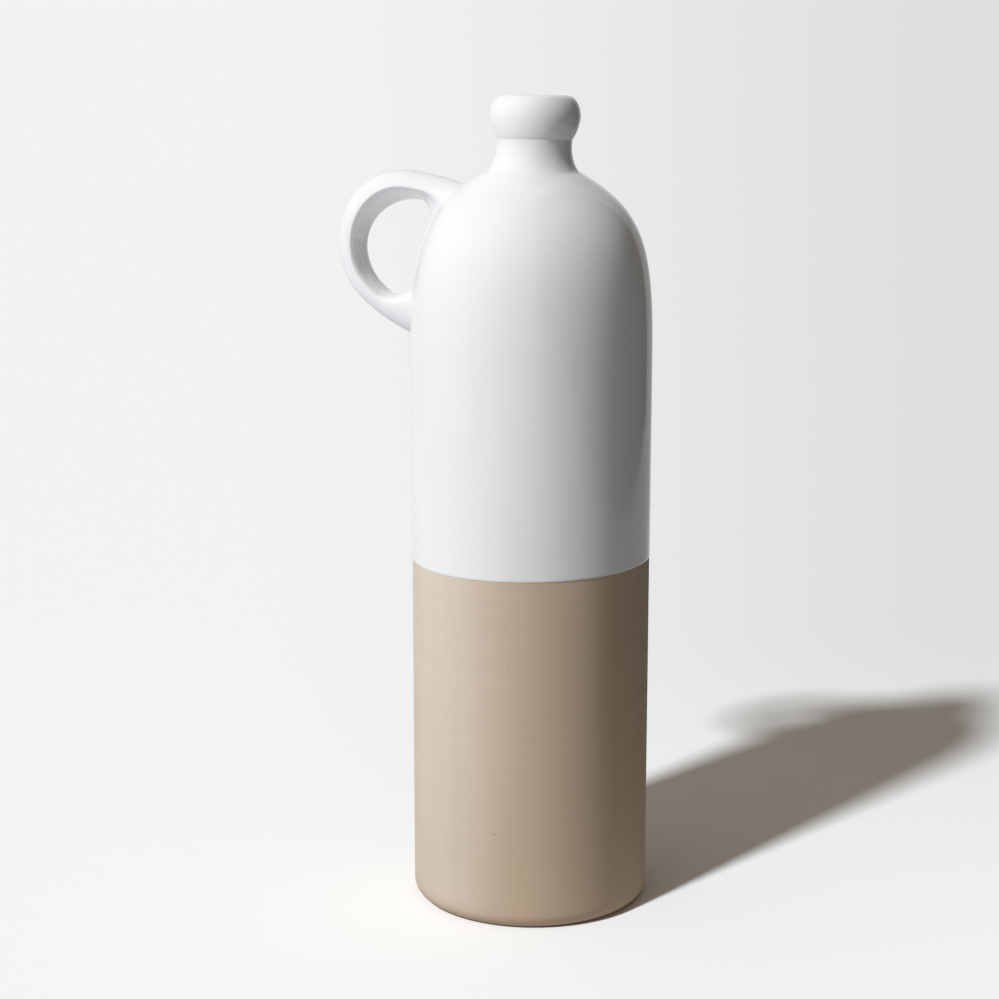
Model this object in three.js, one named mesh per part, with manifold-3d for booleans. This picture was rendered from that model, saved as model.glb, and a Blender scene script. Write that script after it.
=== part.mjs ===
// A half-gallon stoneware growler: a thrown body, a neck and a loop handle bonded to it with slip,
// a glaze lining inside and a dipped glaze coat over the upper half.
// Millimetres, +Z up. The origin is the centre of the flat underside and the handle points to -X.

import * as THREE from 'three';
import { mergeVertices } from 'three/addons/utils/BufferGeometryUtils.js';
import Module from 'manifold-3d';

const { clamp, degToRad, lerp } = THREE.MathUtils;

// Body: a straight cylinder on a flat base, closing in a long shoulder.
const BODY_RADIUS = 52;
const WALL = 5.5;
const FLOOR = 7;
const FOOT_ROUND = 6.5;
const FLOOR_ROUND = 12;
const SHOULDER_START = 245;
const SHOULDER_RISE = 77.5;
const SHOULDER_SLOPE = degToRad(29);
const SHOULDER_WALL_PULL = 46.8;
const SHOULDER_NECK_PULL = 31.9;

// Neck: radii are built up from the mouth outward, heights from the joint and from the rim.
const MOUTH_RADIUS = 12;
const NECK_WALL = 4;
const NECK_FOOT_FLARE = 2.5;
const SHOULDER_LEDGE = 1;
const NECK_HEIGHT = 29.8;
const WAIST_RISE = 8.8;
const LIP_OVERHANG = 3.1;
const LIP_DROP = 7.6;
const MOUTH_ROUND = 3;
const MOUTH_ROUND_DEPTH = 4;

// Joints and coats: every piece keeps the same small clearance to its neighbour.
const CLEARANCE = 0.3;
const SLIP = 0.8;
const GLAZE = 0.4;
const GLAZE_LINE = 155;
const MOUTH_DIP = 12;

// Handle: a pulled strap on a round loop between a flatter head at the shoulder and a flatter tail at
// the wall. It swells at the outer turn of the loop. At each root it spreads at the sides and, more so,
// inside the loop, where clay is pressed into the corner.
const LOOP_RADIUS = 26.9;
const LOOP_STANDOFF = 5.3;
const LOOP_RISE = 43.4;
const HEAD_TURN = degToRad(96.7);
const HEAD_RADIUS = 90;
const TAIL_TURN = degToRad(48.6);
const TAIL_RADIUS = 84.3;
const STRAP_THICKNESS_TOP = 12.6;
const STRAP_THICKNESS_LOW = 6.8;
const STRAP_SWELL = 2.4;
const STRAP_SWELL_RUN = 42;
const STRAP_SWELL_REACH = 29;
const STRAP_WIDTH_TOP = 19.1;
const STRAP_WIDTH_LOW = 14.7;
const STRAP_INNER_FLATNESS = 0.6;
const ROOT_FLARE = 3;
const ROOT_WEB_TOP = 5;
const ROOT_WEB_LOW = 18;
const ROOT_REACH = 15;
const ROOT_DEPTH = 12;

// Facets
const TURN_SEGMENTS = 40;
const SHOULDER_SEGMENTS = 8;
const CORNER_SEGMENTS = 4;
const NECK_SEGMENTS = 3;
const LIP_SEGMENTS = 4;
const STRAP_STATIONS = 26;
const STRAP_ROOT_CROWDING = 0.25;
const STRAP_SIDES = 16;
const ENTRY_STEP = degToRad(0.1);

// Sizes that follow from the ones above
const JOINT = CLEARANCE + SLIP + CLEARANCE;
const COAT = CLEARANCE + GLAZE;
const WAIST_RADIUS = MOUTH_RADIUS + NECK_WALL;
const LIP_RADIUS = WAIST_RADIUS + LIP_OVERHANG;
const NECK_FOOT_RADIUS = WAIST_RADIUS + NECK_FOOT_FLARE;
const SHOULDER_TOP_RADIUS = NECK_FOOT_RADIUS + SHOULDER_LEDGE;
const SHOULDER_TOP = SHOULDER_START + SHOULDER_RISE;
const NECK_BASE = SHOULDER_TOP + JOINT;
const RIM = NECK_BASE + NECK_HEIGHT;
const LOOP_CENTRE = new THREE.Vector2(BODY_RADIUS + LOOP_STANDOFF, SHOULDER_START + LOOP_RISE);

const wasm = await Module();
wasm.setup();

const QUARTER = Math.PI / 2;
const point = (radius, height) => new THREE.Vector2(radius, height);

// Outside of the shoulder, from the wall up to the neck joint.
const shoulderCurve = new THREE.CubicBezierCurve(
  point(BODY_RADIUS, SHOULDER_START),
  point(BODY_RADIUS, SHOULDER_START + SHOULDER_WALL_PULL),
  point(
    SHOULDER_TOP_RADIUS + SHOULDER_NECK_PULL * Math.cos(SHOULDER_SLOPE),
    SHOULDER_TOP - SHOULDER_NECK_PULL * Math.sin(SHOULDER_SLOPE)
  ),
  point(SHOULDER_TOP_RADIUS, SHOULDER_TOP)
);
const shoulder = shoulderCurve.getSpacedPoints(SHOULDER_SEGMENTS);

// Points pushed sideways from an open outline: outward is to the right of its direction.
function offset(outline, distance) {
  return outline.map((here, i) => {
    const before = outline[Math.max(i - 1, 0)];
    const after = outline[Math.min(i + 1, outline.length - 1)];
    const incoming = here.clone().sub(before).normalize();
    const outgoing = after.clone().sub(here).normalize();
    const along = incoming.add(outgoing).normalize();
    return point(here.x + along.y * distance, here.y - along.x * distance);
  });
}

// Quarter turn of an ellipse, counter-clockwise from an angle.
function corner(centre, across, up, from, segments) {
  const arc = new THREE.EllipseCurve(centre.x, centre.y, across, up, from, from + QUARTER);
  return arc.getPoints(segments);
}

const footCentre = point(BODY_RADIUS - FOOT_ROUND, FOOT_ROUND);
const underside = [point(0, 0), ...corner(footCentre, FOOT_ROUND, FOOT_ROUND, -QUARTER, CORNER_SEGMENTS)];

// Inside of the body from the middle of the floor up to the neck joint: the shoulder's inner face runs
// parallel to the outer one and turns up into the throat.
const innerShoulder = offset(shoulder, -WALL);
const throatStart = innerShoulder[innerShoulder.length - 1];
const throat = new THREE.QuadraticBezierCurve(
  throatStart,
  point(MOUTH_RADIUS, throatStart.y + (throatStart.x - MOUTH_RADIUS) * Math.tan(SHOULDER_SLOPE)),
  point(MOUTH_RADIUS, SHOULDER_TOP)
).getPoints(NECK_SEGMENTS);
const floorCentre = point(BODY_RADIUS - WALL - FLOOR_ROUND, FLOOR + FLOOR_ROUND);
const hollow = [
  point(0, FLOOR),
  ...corner(floorCentre, FLOOR_ROUND, FLOOR_ROUND, -QUARTER, CORNER_SEGMENTS),
  ...innerShoulder,
  ...throat.slice(1)
];

// Outside of the neck, from the joint over the rolled lip and down into the mouth.
const waistLevel = NECK_BASE + WAIST_RISE;
const lipLevel = RIM - LIP_DROP;
const middleLevel = (waistLevel + lipLevel) / 2;
const neckFoot = new THREE.QuadraticBezierCurve(
  point(NECK_FOOT_RADIUS, NECK_BASE),
  point(WAIST_RADIUS, NECK_BASE + NECK_FOOT_FLARE),
  point(WAIST_RADIUS, waistLevel)
).getPoints(NECK_SEGMENTS);
const underLip = new THREE.CubicBezierCurve(
  point(WAIST_RADIUS, waistLevel),
  point(WAIST_RADIUS, middleLevel),
  point(LIP_RADIUS, middleLevel),
  point(LIP_RADIUS, lipLevel)
).getPoints(LIP_SEGMENTS);
const crestRadius = MOUTH_RADIUS + MOUTH_ROUND;
const lipCentre = point(crestRadius, lipLevel);
const lipRoll = corner(lipCentre, LIP_RADIUS - crestRadius, LIP_DROP, 0, LIP_SEGMENTS);
const mouthCentre = point(crestRadius, RIM - MOUTH_ROUND_DEPTH);
const mouthRoll = corner(mouthCentre, MOUTH_ROUND, MOUTH_ROUND_DEPTH, QUARTER, NECK_SEGMENTS);
const neckOutside = [...neckFoot, ...underLip.slice(1), ...lipRoll.slice(1), ...mouthRoll.slice(1)];

// Closed mesh with shared corners, as the joining and cutting needs it.
function closedMesh(geometry) {
  geometry.deleteAttribute('normal');
  geometry.deleteAttribute('uv');
  const merged = mergeVertices(geometry);
  const corners = merged.index.array;
  const kept = [];
  for (let i = 0; i < corners.length; i += 3) {
    const [a, b, c] = [corners[i], corners[i + 1], corners[i + 2]];
    if (a !== b && b !== c && c !== a) kept.push(a, b, c);
  }
  merged.setIndex(kept);
  return merged;
}

// Solid of revolution about the Z axis from an outline that runs up the outside.
function turned(outline) {
  const lathe = new THREE.LatheGeometry(outline, TURN_SEGMENTS);
  lathe.rotateX(QUARTER);
  return closedMesh(lathe);
}

function solid(geometry) {
  const vertProperties = new Float32Array(geometry.attributes.position.array);
  const triVerts = new Uint32Array(geometry.index.array);
  return new wasm.Manifold(new wasm.Mesh({ numProp: 3, vertProperties, triVerts }));
}

function geometryOf(manifold) {
  const mesh = manifold.getMesh();
  const geometry = new THREE.BufferGeometry();
  geometry.setAttribute('position', new THREE.BufferAttribute(mesh.vertProperties, 3));
  geometry.setIndex(new THREE.BufferAttribute(mesh.triVerts, 1));
  return geometry;
}

// The whole jug below the neck with no hollow, grown by a distance: it trims the handle's roots.
function filledBody(growth) {
  const outside = offset([point(BODY_RADIUS, 0), ...shoulder], growth);
  const last = outside[outside.length - 1];
  return solid(turned([point(0, 0), ...outside, point(0, last.y)]));
}

// Radius of the clay's outside at a height on the wall or the shoulder.
function outsideRadius(height) {
  const i = shoulder.findIndex((p) => p.y > height);
  if (i < 0) return SHOULDER_TOP_RADIUS;
  if (i === 0) return BODY_RADIUS;
  const [low, high] = [shoulder[i - 1], shoulder[i]];
  const share = (height - low.y) / (high.y - low.y);
  return lerp(low.x, high.x, share);
}

// Centre of an arc that carries on from the loop at an angle without a kink.
function arcCentre(angle, radius) {
  const reach = LOOP_RADIUS - radius;
  return point(LOOP_CENTRE.x + reach * Math.cos(angle), LOOP_CENTRE.y + reach * Math.sin(angle));
}

const headCentre = arcCentre(HEAD_TURN, HEAD_RADIUS);
const tailCentre = arcCentre(-TAIL_TURN, TAIL_RADIUS);

// Angle on the head at which the strap's centre line sinks into the shoulder.
function upperEntry() {
  let angle = HEAD_TURN;
  const at = new THREE.Vector2();
  do {
    angle += ENTRY_STEP;
    at.set(Math.cos(angle), Math.sin(angle)).multiplyScalar(HEAD_RADIUS).add(headCentre);
  } while (at.x > outsideRadius(at.y) && angle < Math.PI);
  return angle;
}

// Centre line of the strap, with x as the distance from the jug's axis: head, loop and tail.
const headStart = upperEntry() + ROOT_DEPTH / HEAD_RADIUS;
const tailAngle = (radius) => -Math.acos((radius - tailCentre.x) / TAIL_RADIUS);
const tailEnd = tailAngle(BODY_RADIUS - ROOT_DEPTH);
const strapLine = new THREE.Path();
strapLine.absarc(headCentre.x, headCentre.y, HEAD_RADIUS, headStart, HEAD_TURN, true);
strapLine.absarc(LOOP_CENTRE.x, LOOP_CENTRE.y, LOOP_RADIUS, HEAD_TURN, -TAIL_TURN, true);
strapLine.absarc(tailCentre.x, tailCentre.y, TAIL_RADIUS, -TAIL_TURN, tailEnd, true);
const strapLength = strapLine.getLength();

// How near a place is to a root or a swell: 1 on it, 0 beyond its reach.
const nearness = (distance, reach) => clamp(1 - distance / reach, 0, 1);

// One cross-section of the strap, grown by a distance: rounded outside, flatter inside the loop.
function strapSection(share, growth) {
  const middle = strapLine.getPointAt(share);
  const along = strapLine.getTangentAt(share);
  const outward = new THREE.Vector2(-along.y, along.x);
  const toSwell = Math.abs(share * strapLength - ROOT_DEPTH - STRAP_SWELL_RUN);
  const swell = STRAP_SWELL * Math.sin(QUARTER * nearness(toSwell, STRAP_SWELL_REACH)) ** 2;
  const halfThick = (lerp(STRAP_THICKNESS_TOP, STRAP_THICKNESS_LOW, share) + swell) / 2;
  const halfWide = lerp(STRAP_WIDTH_TOP, STRAP_WIDTH_LOW, share) / 2;
  const ring = [];
  for (let i = 0; i < STRAP_SIDES; i++) {
    const turn = 2 * Math.PI * i / STRAP_SIDES;
    const bulge = Math.cos(turn);
    const lift = bulge > 0 ? bulge : -(Math.abs(bulge) ** STRAP_INNER_FLATNESS);
    const aside = Math.sin(turn);
    const plain = middle.clone().addScaledVector(outward, lift * halfThick);
    const gap = Math.hypot(plain.x, aside * halfWide) - outsideRadius(plain.y);
    const near = nearness(gap, ROOT_REACH) ** 2;
    const web = bulge < 0 ? near * lerp(ROOT_WEB_TOP, ROOT_WEB_LOW, share) : 0;
    const at = plain.addScaledVector(outward, lift * (web + growth));
    ring.push(new THREE.Vector3(-at.x, aside * (halfWide + near * ROOT_FLARE + growth), at.y));
  }
  return ring;
}

// The whole strap, roots included, as a closed loft grown by a distance.
function strap(growth) {
  const positions = [];
  const index = [];
  for (let s = 0; s <= STRAP_STATIONS; s++) {
    const even = s / STRAP_STATIONS;
    const share = even - STRAP_ROOT_CROWDING * Math.sin(2 * Math.PI * even) / (2 * Math.PI);
    strapSection(share, growth).forEach((p) => positions.push(p.x, p.y, p.z));
  }
  for (let s = 0; s < STRAP_STATIONS; s++) {
    for (let i = 0; i < STRAP_SIDES; i++) {
      const a = s * STRAP_SIDES + i;
      const b = s * STRAP_SIDES + (i + 1) % STRAP_SIDES;
      index.push(a, b, a + STRAP_SIDES, b, b + STRAP_SIDES, a + STRAP_SIDES);
    }
  }
  const last = STRAP_STATIONS * STRAP_SIDES;
  for (let i = 1; i < STRAP_SIDES - 1; i++) {
    index.push(0, i + 1, i);
    index.push(last, last + i, last + i + 1);
  }
  const geometry = new THREE.BufferGeometry();
  geometry.setAttribute('position', new THREE.Float32BufferAttribute(positions, 3));
  geometry.setIndex(index);
  return solid(geometry);
}

function bodyGeometry() {
  return turned([...underside, ...shoulder, ...hollow.slice().reverse()]);
}

function neckGeometry() {
  const foot = point(MOUTH_RADIUS, NECK_BASE);
  return turned([foot, ...neckOutside, foot]);
}

function neckSlipGeometry() {
  const low = SHOULDER_TOP + CLEARANCE;
  const high = low + SLIP;
  return turned([
    point(MOUTH_RADIUS, low),
    point(SHOULDER_TOP_RADIUS, low),
    point(NECK_FOOT_RADIUS, high),
    point(MOUTH_RADIUS, high),
    point(MOUTH_RADIUS, low)
  ]);
}

function handleGeometry() {
  return geometryOf(strap(0).subtract(filledBody(JOINT)));
}

// Pad of slip between the body and the strap's root, where it lies between two levels.
function handleSlipGeometry(low, high) {
  const layer = filledBody(CLEARANCE + SLIP).subtract(filledBody(CLEARANCE));
  const reach = BODY_RADIUS + JOINT;
  const band = turned([point(0, low), point(reach, low), point(reach, high), point(0, high)]);
  return geometryOf(strap(0).intersect(layer).intersect(solid(band)));
}

// The dip coat: a turned skin from the glaze line over the rim into the mouth, joined to a sleeve
// round the strap. Its lower edge is rounded off toward the clay.
function outerGlazeGeometry() {
  const dipEnd = point(MOUTH_RADIUS, RIM - MOUTH_DIP);
  const covered = [point(BODY_RADIUS, GLAZE_LINE), ...shoulder, ...neckOutside, dipEnd];
  const outer = offset(covered, COAT);
  outer[0].y += GLAZE;
  const inner = offset(covered, CLEARANCE).reverse();
  const jug = solid(turned([...outer, ...inner, outer[0]]));
  const sleeve = strap(COAT).subtract(filledBody(CLEARANCE));
  return geometryOf(jug.add(sleeve).subtract(strap(CLEARANCE)));
}

function linerGlazeGeometry() {
  const top = point(MOUTH_RADIUS, RIM - MOUTH_DIP - CLEARANCE);
  const lined = [...hollow, top];
  const outer = offset(lined, -CLEARANCE);
  const inner = offset(lined, -COAT).reverse();
  return turned([...outer, ...inner]);
}

const clay = { color: 0xcbb79f, roughness: 0.9, metalness: 0 };
const slip = { color: 0xbfa98f, roughness: 0.95, metalness: 0 };
const glaze = { color: 0xf2f2f1, roughness: 0.12, metalness: 0 };

const group = new THREE.Group();

function addPiece(name, geometry, look) {
  geometry.computeVertexNormals();
  const mesh = new THREE.Mesh(geometry, new THREE.MeshStandardMaterial(look));
  mesh.name = name;
  group.add(mesh);
}

addPiece('body', bodyGeometry(), clay);
addPiece('neck', neckGeometry(), clay);
addPiece('neck_slip', neckSlipGeometry(), slip);
addPiece('handle', handleGeometry(), clay);
addPiece('handle_slip_upper', handleSlipGeometry(LOOP_CENTRE.y, SHOULDER_TOP), slip);
addPiece('handle_slip_lower', handleSlipGeometry(GLAZE_LINE, LOOP_CENTRE.y), slip);
addPiece('outer_glaze', outerGlazeGeometry(), glaze);
addPiece('liner_glaze', linerGlazeGeometry(), glaze);

export default group;
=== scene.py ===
"""A hand-thrown stoneware growler, dipped to the waist in white glaze, on a pale studio floor."""

import math
from functools import partialmethod

import bmesh
import bpy
import numpy as np
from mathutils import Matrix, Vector


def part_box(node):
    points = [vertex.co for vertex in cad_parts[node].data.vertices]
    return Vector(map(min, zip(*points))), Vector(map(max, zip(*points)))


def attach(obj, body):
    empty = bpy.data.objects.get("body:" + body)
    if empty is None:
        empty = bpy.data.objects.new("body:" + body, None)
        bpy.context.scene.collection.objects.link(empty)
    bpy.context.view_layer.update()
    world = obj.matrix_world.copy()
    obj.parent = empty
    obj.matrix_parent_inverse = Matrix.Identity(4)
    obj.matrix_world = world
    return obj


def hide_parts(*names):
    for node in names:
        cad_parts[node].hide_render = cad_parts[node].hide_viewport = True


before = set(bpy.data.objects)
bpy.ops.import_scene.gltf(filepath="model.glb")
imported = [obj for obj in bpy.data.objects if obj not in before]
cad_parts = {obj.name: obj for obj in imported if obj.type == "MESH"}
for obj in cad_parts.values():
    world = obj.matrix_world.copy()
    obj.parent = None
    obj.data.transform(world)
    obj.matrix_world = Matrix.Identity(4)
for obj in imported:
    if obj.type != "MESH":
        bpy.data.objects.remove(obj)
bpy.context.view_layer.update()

bl_info = {
    "name": "Stoneware growler",
    "version": (1, 0, 0),
    "blender": (4, 5, 0),
    "location": "View3D > Sidebar > Growler",
    "description": "Builds a hand-thrown stoneware growler, dipped to the waist in white glaze",
    "category": "Add Mesh",
}

BODY_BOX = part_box("body")
NECK_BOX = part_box("neck")
COAT_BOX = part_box("outer_glaze")
SLIP_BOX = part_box("neck_slip")

# The photograph's view: how far the camera stands round from the front, toward the right.
VIEW_TURN = math.radians(21)
TO_RIGHT = Vector((math.cos(VIEW_TURN), math.sin(VIEW_TURN), 0))
TO_BACK = Vector((-math.sin(VIEW_TURN), math.cos(VIEW_TURN), 0))

TURN_SEGMENTS = 160
STRAP_SIDES = 64
STRAP_STATIONS = 90
FILLET_STATIONS = 14

# Larger iron spots on the wall: turn from the middle of the view in degrees, height and radius.
IRON_SPOTS = (
    (4.5, 0.1515, 0.0004),
    (-11.25, 0.1185, 0.00035),
    (-29.25, 0.1165, 0.00035),
    (-38.75, 0.0525, 0.0004),
    (-18, 0.043, 0.00045),
)

# Throwing: how far the wall is out of round, and the draw of its waves.
OUT_OF_ROUND = 0.0003
WHEEL_SEED = 3.0

# Scale of those waves round the wall and up it, and of the ripples in a dip's edge.
WAVE_SCALE = 0.9
WAVE_RISE = 9.0
RIPPLE_SCALE = 2.3

# A turned piece is closed by welding points that lie this near to each other, in metres, where the last
# column comes round to the first, within a small angle.
WELD = 2e-6
SEAM = 1e-4

# The rim stands a little higher than the solid's.
RIM_RISE = 0.0009

# Pulls of the curves that draw the neck's outline, across and up; the lip's goes inward and down.
FOOT_PULL = (0.0002, 0.0034)
CREASE_PULL = (0.00045, 0.0005)
LIP_PULL = (0.0005, 0.005)

# The neck begins to lean a little under the joint and leans fully above it.
LEAN_DROP = 0.006
LEAN_EASE = 0.01

# Rolled edge of the dip: millimetres over its line, and glaze there in shares of its thickness.
EDGE_RISE = (0, 0.08, 0.2, 0.4, 0.7, 1.1, 1.7, 2.6, 4, 6, 9)
EDGE_ROLL = (0.1, 0.5, 0.8, 1.0, 1.16, 1.22, 1.2, 1.12, 1.05, 1.0, 1.0)

# Roots of the handle: a fillet's run on the strap, its spread on the jug, how much narrower it is on
# the outer side, the pull of its curve, the share of the run that its heading is taken from, and the
# tuck under the jug's surface that ends it.
FILLET_RUN = 0.0035
FILLET_SPREAD = 0.0025
FILLET_NARROWING = 0.0012
FILLET_PULL = 0.7
HEADING_STEP = 0.98
TUCK_RUN = 0.0005
TUCK_DEPTH = 0.00012

# Rings of a slip pad: lift in shares of its thickness, and reach in shares of the root's.
PAD_RINGS = ((0.1, 0.4), (0.1, 0.86), (1, 0.86), (1, 0.4))

# Pulling leaves ridges along the strap: their number, and how far they wind round it.
RIDGES = 9
RIDGE_WIND = 2.2

# Handle: thickness of its glaze, depth of its clay under the glazed surface, and the room that the clay
# leaves over the jug, in thicknesses of slip.
SLEEVE = 0.00035
CORE_DEPTH = 0.00045
PAD_ROOM = 1.3

# Camera: place to the right, toward the front and up, downward tilt in degrees, and focal length for
# the photograph's width, both in pixels.
CAMERA_PLACE = (-0.01378, 1.0286, 0.3992)
CAMERA_TILT = 12.044
FOCAL_PIXELS = 2400
WIDTH_PIXELS = 999
SENSOR_WIDTH = 36

# How gradually the painted reflection of the sheet ends.
SHEET_BLUR = 0.04

# Place on the jug's axis that the lamps point at.
LAMP_AIM = Vector((0, 0, 0.15))


def length(description, default):
    """A size in metres for a property group."""
    return bpy.props.FloatProperty(description=description, default=default, unit="LENGTH", precision=5)


def lengths(description, default):
    """A size at the shoulder and one at the wall, in metres."""
    return bpy.props.FloatVectorProperty(
        description=description, default=default, size=2, unit="LENGTH", precision=5
    )


def angle(description, degrees):
    """An angle for a property group, given in degrees."""
    return bpy.props.FloatProperty(
        description=description, default=math.radians(degrees), unit="ROTATION"
    )


def share(description, default):
    """A plain number for a property group."""
    return bpy.props.FloatProperty(description=description, default=default, precision=4)


def colour(description, default):
    """A linear colour for a property group."""
    return bpy.props.FloatVectorProperty(
        description=description, default=default, subtype="COLOR", size=3, min=0, max=1
    )


class JugSizes(bpy.types.PropertyGroup):
    """Sizes of the turned clay and of the glaze on it."""

    body_radius: length("Outside of the straight wall", BODY_BOX[1].x)
    wall: length("Thickness of the wall and the shoulder", 0.0055)
    floor: length("Thickness of the base", 0.007)
    foot_round: length("Radius of the outer edge of the base", 0.0065)
    floor_round: length("Radius of the inner edge of the base", 0.012)
    shoulder_start: length("Height at which the wall begins to close in", 0.245)
    shoulder_top: length("Height of the joint with the neck", BODY_BOX[1].z)
    shoulder_radius: length("Outside of the shoulder at the neck", 0.0195)
    shoulder_slope: angle("Slope of the shoulder at the neck", 29)
    wall_pull: length("How long the shoulder holds on to the wall", 0.0468)
    neck_pull: length("How long the shoulder holds its slope at the neck", 0.0319)
    neck_base: length("Height of the foot of the neck", NECK_BOX[0].z)
    neck_foot: length("Outside of the neck at its foot", 0.0185)
    waist: length("Outside of the neck at its narrowest", 0.0158)
    waist_rise: length("Height of the waist over the foot of the neck", 0.0094)
    crease: length("Outside of the neck in the crease under the lip", 0.01605)
    crease_rise: length("Height of the crease over the foot of the neck", 0.0127)
    lip: length("Outside of the rolled lip", NECK_BOX[1].x)
    lip_drop: length("How far the lip's widest place lies under the rim", 0.009)
    rim: length("Height of the bare clay rim", NECK_BOX[1].z + RIM_RISE)
    mouth: length("Inside of the neck", 0.012)
    mouth_round: length("Width of the rounding at the mouth", 0.0015)
    mouth_depth: length("Depth of the rounding at the mouth", 0.003)
    lean: angle("How far the neck leans to the right", 1.7)
    lean_from: length("Height that the neck's leaning line passes through", 0.3035)
    rim_right: angle("How far the rim drops to the right", 1.05)
    rim_back: angle("How far the rim drops to the back", 2.5)
    coat: length("Thickness of the glaze", 0.00027)
    skin: length("Room between the clay and the back of the glaze", 0.00003)
    glaze_line: length("Height of the edge of the dip", COAT_BOX[0].z)
    line_tilt: angle("How far the dip line rises to the right", 0.85)
    line_wave: length("How far the dip line wanders", 0.0003)
    mouth_dip: length("How far the glaze turns down into the mouth", 0.012)


class HandleSizes(bpy.types.PropertyGroup):
    """Sizes of the pulled handle, glaze included."""

    loop: length("Radius of the middle of the strap in the loop", 0.02686)
    standoff: length("Middle of the loop outside the wall", 0.00529)
    rise: length("Middle of the loop over the start of the shoulder", 0.04337)
    head_turn: angle("Where the loop passes into the head, above level", 96.7)
    head: length("Radius of the flatter head", 0.09)
    tail_turn: angle("Where the loop passes into the tail, below level", 48.6)
    tail: length("Radius of the flatter tail", 0.0843)
    thick: lengths("Thickness of the strap at the shoulder and the wall", (0.01348, 0.00864))
    swell: length("Extra thickness at the outer turn of the loop", 0.0024)
    swell_place: share("Where along the strap the swell lies", 0.36)
    swell_spread: share("How far along the strap the swell reaches", 0.25)
    wide: lengths("Width of the strap at the shoulder and the wall", (0.0202, 0.0165))
    crown: share("Height of the domed outer side, in half thicknesses", 1.0)
    seat: share("How far the strap's edges lie inside its line, in half thicknesses", 0.45)
    belly: length("Depth of the flat inner side below the strap's edges", 0.0018)
    flatness: share("How flat the inner side is, 1 for an ellipse", 0.8)
    roll: angle("How far the strap's head is turned so that its inner side shows", 20)
    roll_start: share("Where along the strap the turn begins to ease", 0.22)
    roll_end: share("Where along the strap the turn ends", 0.6)
    flare: length("How far each side of the strap spreads at its roots", 0.003)
    web: lengths("How far its inside spreads at the shoulder and the wall", (0.0128, 0.026))
    lop_top: share("Share of the upper web on the near side, less that on the far one", -0.8)
    lop_low: share("Share of the lower web on the near side, less that on the far one", 0.4)
    reach: lengths("Distance from the shoulder and the wall at which that begins", (0.014, 0.02))
    depth: length("How far the strap's line runs on into the clay", 0.012)
    ridge: length("Height of the ridges that pulling leaves along the strap", 0.00006)
    slip: length("Thickness of the slip between the strap and the jug", 0.0006)


class ClayLook(bpy.types.PropertyGroup):
    """Colours and marks of the bare clay."""

    # Painted light and shade: the first colour paints the clay paler and pinker on the side toward the
    # lamp, a painted sheen; the second paints it darker toward the front and the far side, painted
    # shade.
    painted_lit_rose: colour("Clay on the side that the flame bleached", (0.70, 0.60, 0.505))
    painted_shade_straw: colour("Clay on the other side", (0.60, 0.47, 0.345))
    iron: colour("Colour of the iron specks", (0.16, 0.09, 0.05))
    foot: colour("Colour that the foot takes from the kiln shelf", (0.56, 0.41, 0.30))
    slip: colour("Colour of the joining slip", (0.55, 0.43, 0.33))


class GlazeLook(bpy.types.PropertyGroup):
    """Colours of the glaze."""

    white: colour("Main colour of the glaze", (0.86, 0.86, 0.865))
    thin: colour("Where the glaze runs thin over the clay", (0.80, 0.755, 0.69))


class StageLook(bpy.types.PropertyGroup):
    """Floor, light and camera."""

    # The floor is painted paler on the lamp's side and darker on the far side and far away: a painted
    # fall-off of the lamp's light.
    bright: colour("Floor on the side of the lamp", (0.915, 0.853, 0.772))
    painted_dim_floor: colour("Floor on the far side", (0.75, 0.698, 0.63))
    haze: colour("Backdrop over the far end of the floor", (0.87, 0.87, 0.87))
    # Painted reflection: the glaze mirrors these colours only; the floor and the world glow with them
    # for mirror rays alone, pale beside the lamp and dark on the far side.
    painted_sheet: colour("Pale sheet that the glaze mirrors beside the lamp", (0.84, 0.84, 0.845))
    painted_sheet_far: colour("Pale sheet that the glaze mirrors on the far side", (0.47, 0.465, 0.455))
    painted_room_left: colour("What the glaze mirrors beside the sheet near the lamp", (0.6, 0.6, 0.6))
    painted_room_right: colour("What the glaze mirrors beside the sheet on the far side", (0.06, 0.058, 0.055))
    sheet_side: length("Half the width of the pale sheet under and behind the jug", 0.85)
    sheet_back: length("How far behind the jug the sheet turns up", 1.0)
    bounce_left: colour("Light that the floor sends back beside the lamp", (0.72, 0.70, 0.675))
    bounce_right: colour("Light that the floor sends back on the far side", (0.172, 0.158, 0.142))
    bounce_foot: colour("Light that the floor sends back at the foot", (0.50, 0.455, 0.40))
    ambient_left: colour("Light from the room beside the lamp", (0.36, 0.335, 0.31))
    ambient_right: colour("Light from the room on the far side", (0.085, 0.072, 0.06))
    ambient_top: colour("Light from the ceiling", (0.30, 0.293, 0.28))
    sun_level: share("Strength of the light that throws the shadow on the floor", 4.34)
    sun_turn: angle("Sun to the left of the camera", 41)
    sun_height: angle("Sun above level", 42.2)
    sun_spread: angle("Softness of the shadow", 5)
    sun_tint: colour("Tint of the light that throws the shadow", (0.77, 0.87, 1.0))
    key_power: share("Power of the lamp on the jug in watts", 69.5)
    key_size: length("Diameter of the lamp", 0.5)
    key_distance: length("Distance of the lamp", 3.0)
    key_turn: angle("Lamp to the left of the camera", 49.5)
    key_height: angle("Lamp above level", 43)
    key_tint: colour("Tint of the lamp on the jug", (0.97, 0.985, 1.0))


# Outlines: points of distance from the axis and height, in metres.


def bezier(controls, count):
    """Points of a Bezier curve through its first and last control."""
    controls = np.array(controls, float)
    degree = len(controls) - 1
    t = np.linspace(0, 1, count)[:, None]
    return sum(
        math.comb(degree, k) * (1 - t) ** (degree - k) * t**k * controls[k] for k in range(degree + 1)
    )


def quarter(centre, across, up, start, count):
    """Quarter turn of an ellipse, counter-clockwise from an angle in quarter turns."""
    t = np.linspace(start, start + 1, count) * math.pi / 2
    return np.column_stack((centre[0] + across * np.cos(t), centre[1] + up * np.sin(t)))


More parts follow.
